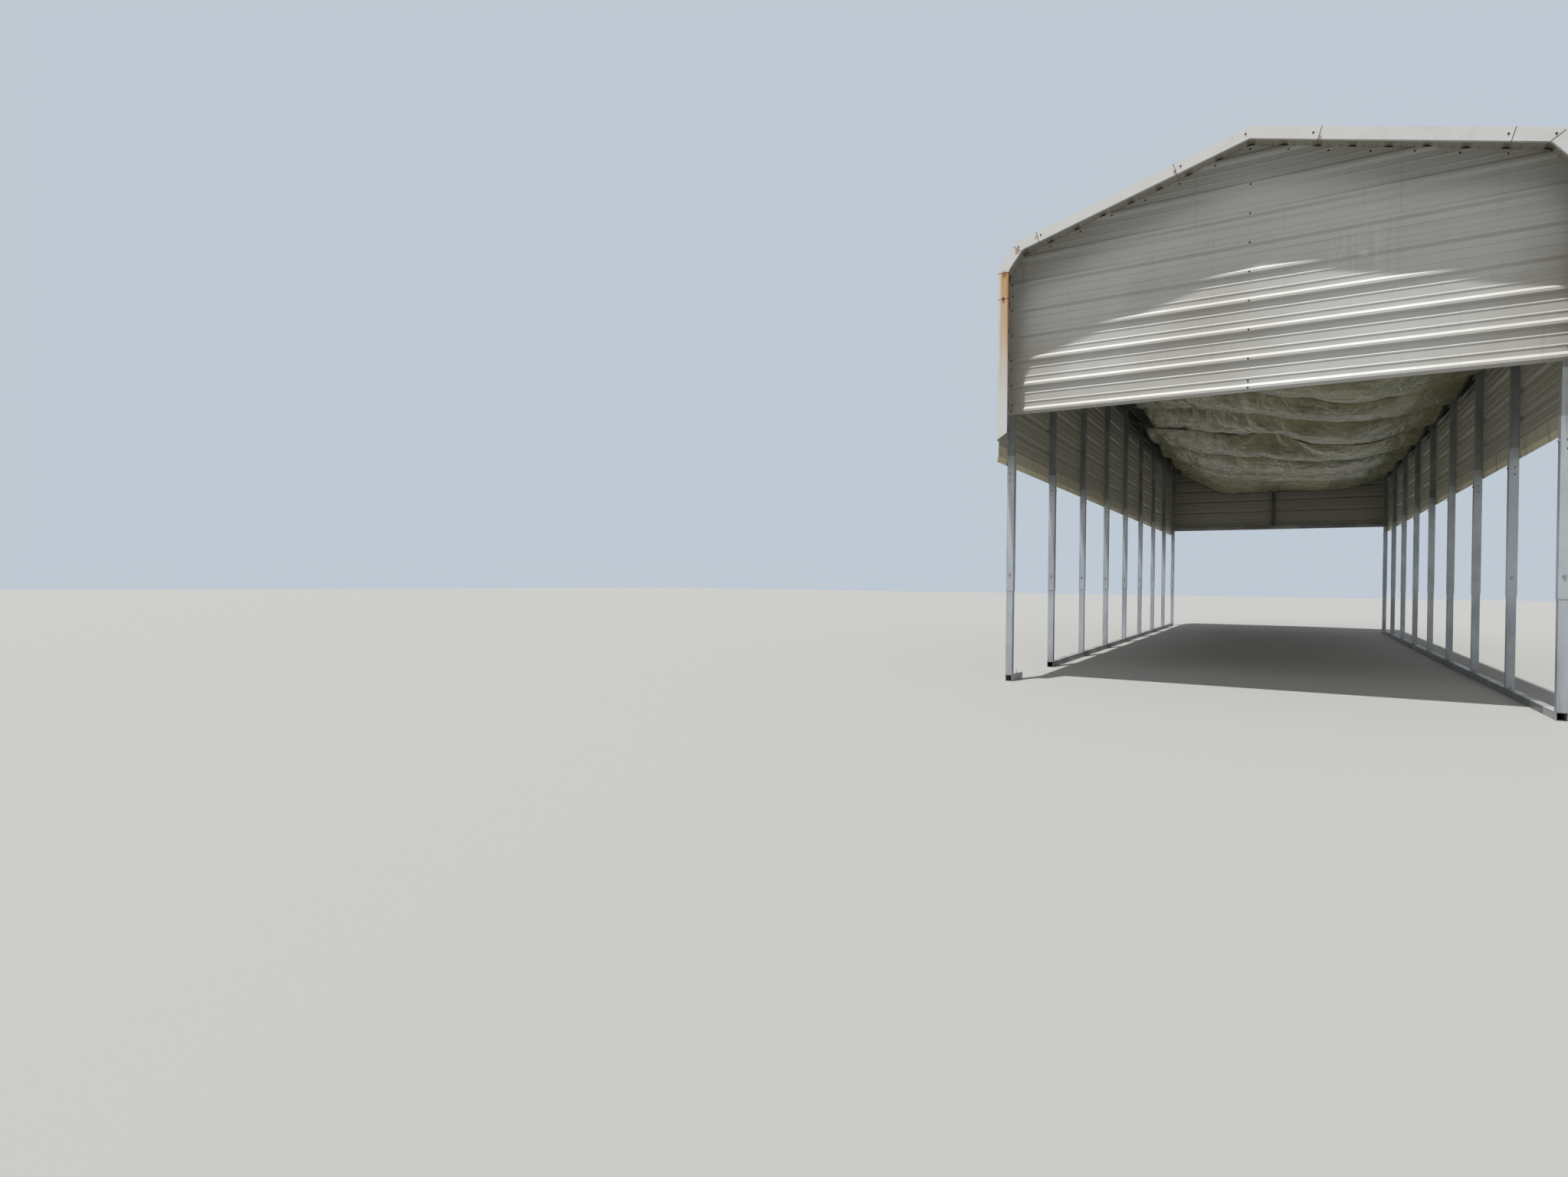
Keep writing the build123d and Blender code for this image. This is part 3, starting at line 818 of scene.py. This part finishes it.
# Laps of an end trim: distance from the peak of the upper length's end, and its screw, which is
# that far up from the end, or None
TRIM_LAPS = (
    (-2.343, 0.012),
    (-2.113, None),
    (-1.87, 0.02),
    (-1.66, 0.03),
    (-0.546, 0.045),
    (0.476, 0.045),
    (1.6, 0.03),
    (1.85, 0.02),
    (2.113, None),
    (2.343, 0.012),
)


def trim_band(face_y, inward, start, length, proud):
    """Band lapped round the trim's face and flanges from a distance along the section."""
    top = trim_top
    low = top - TRIM_FACE
    lip = TRIM_LIP * 0.9
    outer = [(top + proud, TRIM_FLANGE), (top + proud, -proud), (low - proud, -proud), (low - proud, lip)]
    inner = [(low, lip), (low, 0.0), (top, 0.0), (top, TRIM_FLANGE)]

    def end(distance):
        return [section_point(distance, out, face_y + inward * depth) for out, depth in outer + inner]

    return thin_solid(end(start), end(start + length))


def trim_laps(name, face_y, inward):
    """Lapped lengths of an end trim, the dark end of each lap, which is painted shadow gap and rust, and the
    screws beside them.
    """
    depth = trim_top - TRIM_SCREW_DEPTH
    plates = []
    lines = []
    places = [(section_point(TRIM_PEAK_SCREW, depth, face_y), (0, -inward, 0))]
    for end, screw in TRIM_LAPS:
        uphill = 1.0 if end < 0 else -1.0
        plates.append(trim_band(face_y, inward, end, uphill * TRIM_LAP, LAP_PLATE))
        # painted shadow gap and rust at the lap's end
        lines.append(trim_band(face_y, inward, end, uphill * LAP_LINE, LAP_LINE_PLATE))
        if screw:
            place = section_point(end + uphill * screw, depth, face_y - inward * LAP_PLATE)
            places.append((place, (0, -inward, 0)))
    add_piece(f"{name}_laps", plates, [trim_paint])
    add_piece(f"{name}_lap_edges", lines, [lap_shadow_and_rust])
    for distance in half_ribs[:slope_ribs:2]:
        for side in (-1.0, 1.0):
            point, normal = on_section(side * (distance + TRIM_SCREW_BESIDE_RIB), trim_top)
            at = (point.x, face_y + inward * TRIM_TOP_SCREW_Y, point.y)
            places.append((at, (normal.x, 0.0, normal.y)))
    copies(f"{name}_screws", SCREW, places, screw_metals, 9)


def side_trim_screws():
    """A screw through each side strip at every frame."""
    x = half_width + SHEET + SIDE_TRIM_PROUD
    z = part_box("side_trim_right")[1].z - SIDE_TRIM_SCREW_DEPTH
    places = [((side * x, y, z), (side, 0, 0)) for y in frame_ys for side in (-1.0, 1.0)]
    copies("side_trim_screws", SCREW, places, screw_metals, 10)


# Tarpaulins
def hanging_line(node, y):
    """Line of a tarpaulin's top at one of its ends, with rounded bends, and its length."""
    tops = {}
    for vertex in nodes[node].data.vertices:
        if abs(vertex.co.y - y) < 0.001:
            x = round(vertex.co.x, 4)
            tops[x] = max(vertex.co.z, tops.get(x, 0.0))
    bends = [Vector((x, tops[x])) for x in sorted(tops)]
    lengths = [(after - before).length for before, after in zip(bends, bends[1:])]
    total = sum(lengths)

    def sharp(distance):
        rest = min(max(distance, 0.0), total)
        for start, end, length in zip(bends, bends[1:], lengths):
            if rest <= length or end is bends[-1]:
                break
            rest -= length
        return start.lerp(end, min(rest / length, 1.0))

    def rounded(share):
        distance = share * total
        reach = min(TARP_ROUNDING, distance, total - distance)
        steps = range(-ROUNDING_STEPS, ROUNDING_STEPS + 1)
        samples = [sharp(distance + reach * step / ROUNDING_STEPS) for step in steps]
        return sum(samples, Vector((0.0, 0.0))) / len(samples)

    return rounded, total


class Hanging:
    """How a tarpaulin lies on its cords: its rows, and a point for a share across and a y."""

    def __init__(self, node, lifts, slack, peak_y, seed):
        low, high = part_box(node)
        self.low_y, self.high_y = low.y, high.y
        self.front, front_length = hanging_line(node, low.y)
        self.rear, rear_length = hanging_line(node, high.y)
        self.width = (front_length + rear_length) / 2
        self.length = high.y - low.y
        inner = [y for y in frame_ys if low.y + ROW_GAP < y < high.y - ROW_GAP]
        self.rows = [low.y] + inner + [high.y]
        self.lifts = lifts
        self.slack = slack
        self.peak_y = peak_y
        draw = random.Random(seed)
        self.phases = [[draw.uniform(0, 2 * pi) for _ in range(4)] for _ in self.rows]

    def between(self, y):
        """Number of the row before y, and the share of the way to the next one."""
        for number in range(len(self.rows) - 1):
            if y <= self.rows[number + 1] + 1e-6:
                break
        start, end = self.rows[number], self.rows[number + 1]
        return number, min(max((y - start) / (end - start), 0.0), 1.0)

    def wave(self, number, distance):
        phases = self.phases[number]
        return sum(sin(order * 2.1 * distance + phase) / order for order, phase in enumerate(phases, 2))

    def point(self, share, y):
        along = (y - self.low_y) / self.length
        place = self.front(share).lerp(self.rear(share), along)
        number, part = self.between(y)
        inside = sin(pi * share)
        distance = share * self.width
        lift = self.lifts[number] * (1 - part) + self.lifts[number + 1] * part
        wave = self.wave(number, distance) * (1 - part) + self.wave(number + 1, distance) * part
        near_hem = max(0.0, 1 - abs(y - self.peak_y) / HEM_PEAK_LENGTH)
        near_peak = max(0.0, 1 - abs(place.x - HEM_PEAK_X) / HEM_PEAK_REACH)
        peak = HEM_PEAK * near_hem * near_peak ** 1.5
        risen = sqrt(max(inside, 0.0))
        z = place.y + lift * risen + TARP_WAVE * wave * risen + peak
        return Vector((place.x, y, z))

    def hung_point(self, share, y):
        """A point with the sag between two rows, drawn in along the scalloped sides."""
        point = self.point(share, y)
        swing = sin(pi * self.between(y)[1])
        edge = self.width * min(share, 1 - share)
        pull = max(0.0, 1 - edge / TARP_SCALLOP_REACH) ** 2 * TARP_SCALLOP * swing
        point.x += pull if share < 0.5 else -pull
        point.z -= SAG_PER_SLACK * self.slack * swing * sin(pi * share)
        return point


def tarp_grid(hanging, seed):
    """Points, faces, numbers of the pinned points, and places on the flat sheet, before it hangs."""
    columns = round(hanging.width / TARP_CELL)
    lines = round(hanging.length / TARP_CELL)
    step_y = hanging.length / lines
    points = []
    pins = []
    flat = []
    for j in range(lines + 1):
        hem = j == lines
        y = hanging.low_y + step_y * (j - 1) + (HEM_DROP_Y if hem else step_y)
        pinned = j >= lines - 1 or min(abs(row - y) for row in hanging.rows) <= step_y / 2
        for i in range(columns + 1):
            share = i / columns
            point = hanging.hung_point(share, y)
            if hem:
                point.z -= HEM_DROP
            if pinned:
                pins.append(len(points))
            else:
                point.z += TARP_RIPPLE * noise.noise(Vector((share * 14, y * 4, seed)))
            points.append(point)
            flat.append((TARP_FLAT[0] * share, TARP_FLAT[1] * j / lines))
    corners = [j * (columns + 1) + i for j in range(lines) for i in range(columns)]
    faces = [(first, first + 1, first + columns + 2, first + columns + 1) for first in corners]
    return points, faces, pins, flat


def hang_tarp(name, node, hanging, seed):
    """Sheet of cloth on the cross cords, let down by simulation between them."""
    points, faces, pins, flat = tarp_grid(hanging, seed)
    tarp = add_piece(name, [(points, faces)], [tarp_cloth], smooth=True, closed=False)
    grid = tarp.data.uv_layers.new(name="flat")
    for loop in tarp.data.loops:
        grid.data[loop.index].uv = flat[loop.vertex_index]
    tarp.vertex_groups.new(name="pins").add(pins, 1.0, "REPLACE")
    let_hang(tarp, hanging.slack)
    finer = tarp.modifiers.new("finer", "SUBSURF")
    finer.levels = 1
    finer.render_levels = 1
    keep_modifiers(tarp)
    crumple(tarp, hanging, seed)
    thick = tarp.modifiers.new("thickness", "SOLIDIFY")
    thick.thickness = TARP_THICKNESS
    thick.offset = 0.0
    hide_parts(node)


def dented(x, y, seed):
    """How far creases, long folds, dents and the fan at the hem's peak push the cloth."""
    crease_at = Vector((x * CREASES[0], y * CREASES[1], seed))
    fold_at = Vector((x * FOLDS[0], y * FOLDS[1], seed + 9))
    dent_at = Vector((x * DENTS[0], y * DENTS[1], seed + 5))
    creases = noise.ridged_multi_fractal(crease_at, 1.0, 2.1, 3, 0.9, 2.0) - 1.1
    folds = noise.ridged_multi_fractal(fold_at, 1.0, 2.0, 2, 0.9, 2.0) - 1.0
    dents = noise.noise(dent_at)
    from_peak = Vector((x - HEM_PEAK_X, abs(y) + FAN_START))
    fan = sin(FAN_FOLDS * atan2(from_peak.x, from_peak.y)) * max(0.0, 1 - from_peak.length / FAN_REACH)
    return TARP_CRUMPLE * (0.7 * creases + 0.3 * dents) + TARP_FOLD * folds + FAN_DEPTH * fan


def crumple(tarp, hanging, seed):
    """Pushes the settled cloth in and out, less so along its pinned rows."""
    mesh = tarp.data
    moved = []
    for vertex in mesh.vertices:
        to_row = min(abs(row - vertex.co.y) for row in hanging.rows)
        calm = min(1.0, ROW_CALM + to_row / ROW_CALM_REACH)
        moved.append(vertex.co + vertex.normal * calm * dented(vertex.co.x, vertex.co.y, seed))
    for vertex, place in zip(mesh.vertices, moved):
        vertex.co = place


def keep_modifiers(piece):
    """Applies a piece's modifiers to its mesh."""
    graph = bpy.context.evaluated_depsgraph_get()
    settled = bpy.data.meshes.new_from_object(
        piece.evaluated_get(graph), preserve_all_data_layers=True, depsgraph=graph
    )
    piece.modifiers.clear()
    piece.data = settled


def let_hang(tarp, slack):
    """Runs the cloth and keeps the shape that it settles in."""
    cloth = tarp.modifiers.new("cloth", "CLOTH")
    cloth.settings.quality = 6
    cloth.settings.mass = 0.25
    cloth.settings.tension_stiffness = 25
    cloth.settings.compression_stiffness = 20
    cloth.settings.shear_stiffness = 10
    cloth.settings.bending_stiffness = 1.2
    cloth.settings.air_damping = 1.5
    cloth.settings.vertex_group_mass = "pins"
    cloth.settings.shrink_min = -slack
    cloth.point_cache.frame_start = 1
    cloth.point_cache.frame_end = TARP_FRAMES
    for number in range(1, TARP_FRAMES + 1):
        bpy.context.scene.frame_set(number)
    keep_modifiers(tarp)
    bpy.context.scene.frame_set(1)


def cords(hangings):
    """Cords under the tarpaulins at every frame, and the eyelets along the tarpaulins' sides."""
    draw = random.Random(21)
    shapes = []
    rings = []
    for hanging in hangings:
        for y in hanging.rows:
            ring_y = min(max(y, hanging.low_y + EYELET_FROM_FRONT), hanging.high_y - EYELET_FROM_HEM)
            rings += [(hanging.point(share, ring_y), (0, 0, 1)) for share in EYELET_SHARES]
            frame_y = min(frame_ys, key=lambda middle: abs(middle - y))
            if abs(frame_y - y) <= CORD_TO_FRAME:
                shapes += cord_across(hanging, y, frame_y, draw)
    tied = add_piece("tie_cords", shapes, [cord_fibre], smooth=True)
    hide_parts("tarp_ties")
    copies("tarp_grommets", GROMMET, rings, [bolt_metal], 11)


def cord_across(hanging, y, frame_y, draw):
    """One cord under the cloth, its turns round the bow at both ends, and the tails."""
    tie_low, tie_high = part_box("tarp_ties")
    under_y = min(y, hanging.high_y - CORD_FROM_HEM)
    below = Vector((0, 0, CORD_RADIUS * 1.4))
    under = [hanging.point(step / CORD_STEPS, under_y) - below for step in range(CORD_STEPS + 1)]
    rise = draw.uniform(-CORD_UNEVEN, CORD_UNEVEN)
    left = Vector((tie_low.x, frame_y, under[0].z + CORD_LEFT_RISE + rise))
    right = Vector((tie_high.x, frame_y, under[-1].z + CORD_RIGHT_RISE + rise))
    before = [
        left.lerp(under[0], step / 6) - Vector((0, 0, CORD_SAG * sin(pi * step / 6)))
        for step in range(6)
    ]
    after = [under[-1].lerp(right, step / 3) for step in range(1, 4)]
    shapes = [tube_mesh(before + under + after, CORD_RADIUS)]
    out, back, down = CORD_TAIL_STEP
    for end, side in ((left, -1.0), (right, 1.0)):
        shapes.append(tube_mesh(wrap(end, side, frame_y, draw), CORD_RADIUS))
        tail = [end + Vector((-side * out * step, back * step, down * step)) for step in range(4)]
        shapes.append(tube_mesh(tail, CORD_RADIUS * 0.8))
    return shapes


def wrap(end, side, y, draw):
    """Turn of cord round the three free faces of a bow."""
    half = TUBE / 2 + CORD_RADIUS
    inner = end.x - side * CORD_RADIUS * 0.2
    outer = side * (half_width - WRAP_END)
    lift = CORD_RADIUS * 1.2 + draw.uniform(-WRAP_UNEVEN, WRAP_UNEVEN)
    return [
        Vector((outer, y + half, end.z - lift)),
        Vector((inner, y + half, end.z - lift)),
        Vector((inner - side * 0.002, y, end.z)),
        Vector((inner, y - half, end.z + lift)),
        Vector((outer, y - half, end.z + lift)),
    ]


# Pieces
roof_screws()
front_bottom_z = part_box("front_gable_sheet")[0].z
back_bottom_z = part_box("back_gable_sheet")[0].z
gable_screws("front_gable_screws", front_y, -1.0, front_bottom_z, front_bottom_z + RIB_BASE / 2)
gable_screws("back_gable_screws", back_y, 1.0, back_bottom_z, back_bottom_z + BACK_FIRST_RIB)
leg_bolts()
anchors()
welds()
sheet_laps()
roof_end_lap()
trim_laps("front_trim", trim_front_y, 1.0)
trim_laps("back_trim", trim_back_y, -1.0)
side_trim_screws()
front_hanging = Hanging("tarp_front", FRONT_TARP_LIFTS, FRONT_TARP_SLACK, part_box("tarp_front")[1].y, 31)
rear_hanging = Hanging("tarp_rear", REAR_TARP_LIFTS, REAR_TARP_SLACK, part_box("tarp_rear")[0].y, 32)
hang_tarp("front_tarpaulin", "tarp_front", front_hanging, 31)
hang_tarp("rear_tarpaulin", "tarp_rear", rear_hanging, 32)
cords([front_hanging, rear_hanging])


# Floor, light and camera
FLOOR_SIZE = 120.0
FLOOR_SEEN = paint(160, 159, 156)
FLOOR_BOUNCE = paint(125, 124, 122)
BACKGROUND = paint(190, 201, 211)
WORLD_LOW = 0.3            # light from the horizon, and from overhead
WORLD_HIGH = 0.38
LAMPS = {                   # strength, degrees across, degrees from the left, degrees high
    "key_light": (4.0, 1.0, 16.0, 72.0),
    "fill_light": (0.5, 30.0, 10.0, 42.0),
}


def seen_directly(tree):
    """1 for rays from the camera and for what gloss and glass show, else 0."""
    path = tree.nodes.new("ShaderNodeLightPath")
    total = path.outputs["Is Camera Ray"]
    for ray in ("Is Glossy Ray", "Is Transmission Ray"):
        both = tree.nodes.new("ShaderNodeMath")
        both.operation = "MAXIMUM"
        tree.links.new(total, both.inputs[0])
        tree.links.new(path.outputs[ray], both.inputs[1])
        total = both.outputs[0]
    return total


def make_floor():
    half = FLOOR_SIZE / 2
    mesh = bpy.data.meshes.new("studio_floor")
    corners = [(-half, -half, 0), (half, -half, 0), (half, half, 0), (-half, half, 0)]
    mesh.from_pydata(corners, [], [(0, 1, 2, 3)])
    floor = bpy.data.objects.new("studio_floor", mesh)
    bpy.context.scene.collection.objects.link(floor)
    finish = Finish("studio_floor", roughness=0.9)
    finish.colour(finish.mix(seen_directly(finish.tree), FLOOR_BOUNCE, FLOOR_SEEN))
    mesh.materials.append(finish.material)


def make_world():
    world = bpy.data.worlds.new("studio")
    bpy.context.scene.world = world
    world.use_nodes = True
    tree = world.node_tree
    light = tree.nodes["Background"]
    light.inputs["Color"].default_value = (1.0, 1.0, 1.0, 1.0)
    ways = tree.nodes.new("ShaderNodeTexCoord").outputs["Generated"]
    height = tree.nodes.new("ShaderNodeSeparateXYZ")
    tree.links.new(ways, height.inputs[0])
    ramp = tree.nodes.new("ShaderNodeMapRange")
    ramp.inputs["To Min"].default_value = WORLD_LOW
    ramp.inputs["To Max"].default_value = WORLD_HIGH
    tree.links.new(height.outputs["Z"], ramp.inputs["Value"])
    tree.links.new(ramp.outputs[0], light.inputs["Strength"])
    backdrop = tree.nodes.new("ShaderNodeBackground")
    backdrop.inputs["Color"].default_value = BACKGROUND
    mixed = tree.nodes.new("ShaderNodeMixShader")
    tree.links.new(seen_directly(tree), mixed.inputs[0])
    tree.links.new(light.outputs[0], mixed.inputs[1])
    tree.links.new(backdrop.outputs[0], mixed.inputs[2])
    tree.links.new(mixed.outputs[0], tree.nodes["World Output"].inputs["Surface"])


def make_lamp(name, strength, across, left, height):
    lamp = bpy.data.lights.new(name, "SUN")
    lamp.energy = strength
    lamp.angle = radians(across)
    sun = bpy.data.objects.new(name, lamp)
    bpy.context.scene.collection.objects.link(sun)
    left, height = radians(left), radians(height)
    towards = Vector((sin(left) * cos(height), cos(left) * cos(height), -sin(height)))
    sun.rotation_mode = "QUATERNION"
    sun.rotation_quaternion = towards.to_track_quat("-Z", "Y")


def make_camera():
    yaw, pitch, roll = radians(CAMERA_YAW), radians(CAMERA_PITCH), radians(CAMERA_ROLL)
    forward = Vector((-sin(yaw) * cos(pitch), cos(yaw) * cos(pitch), sin(pitch)))
    level = Vector((cos(yaw), sin(yaw), 0.0))
    upright = level.cross(forward)
    right = level * cos(roll) + upright * sin(roll)
    up = upright * cos(roll) - level * sin(roll)
    data = bpy.data.cameras.new("photo_camera")
    data.sensor_fit = "HORIZONTAL"
    data.sensor_width = SENSOR_WIDTH
    data.lens = FOCAL_LENGTH
    data.clip_end = 500.0
    camera = bpy.data.objects.new("photo_camera", data)
    bpy.context.scene.collection.objects.link(camera)
    turned_axes = Matrix((right, up, -forward)).transposed()
    camera.matrix_world = Matrix.Translation(CAMERA_PLACE) @ turned_axes.to_4x4()
    bpy.context.scene.camera = camera


make_floor()
make_world()
for name, numbers in LAMPS.items():
    make_lamp(name, *numbers)
make_camera()
bpy.context.scene.view_settings.view_transform = "Standard"
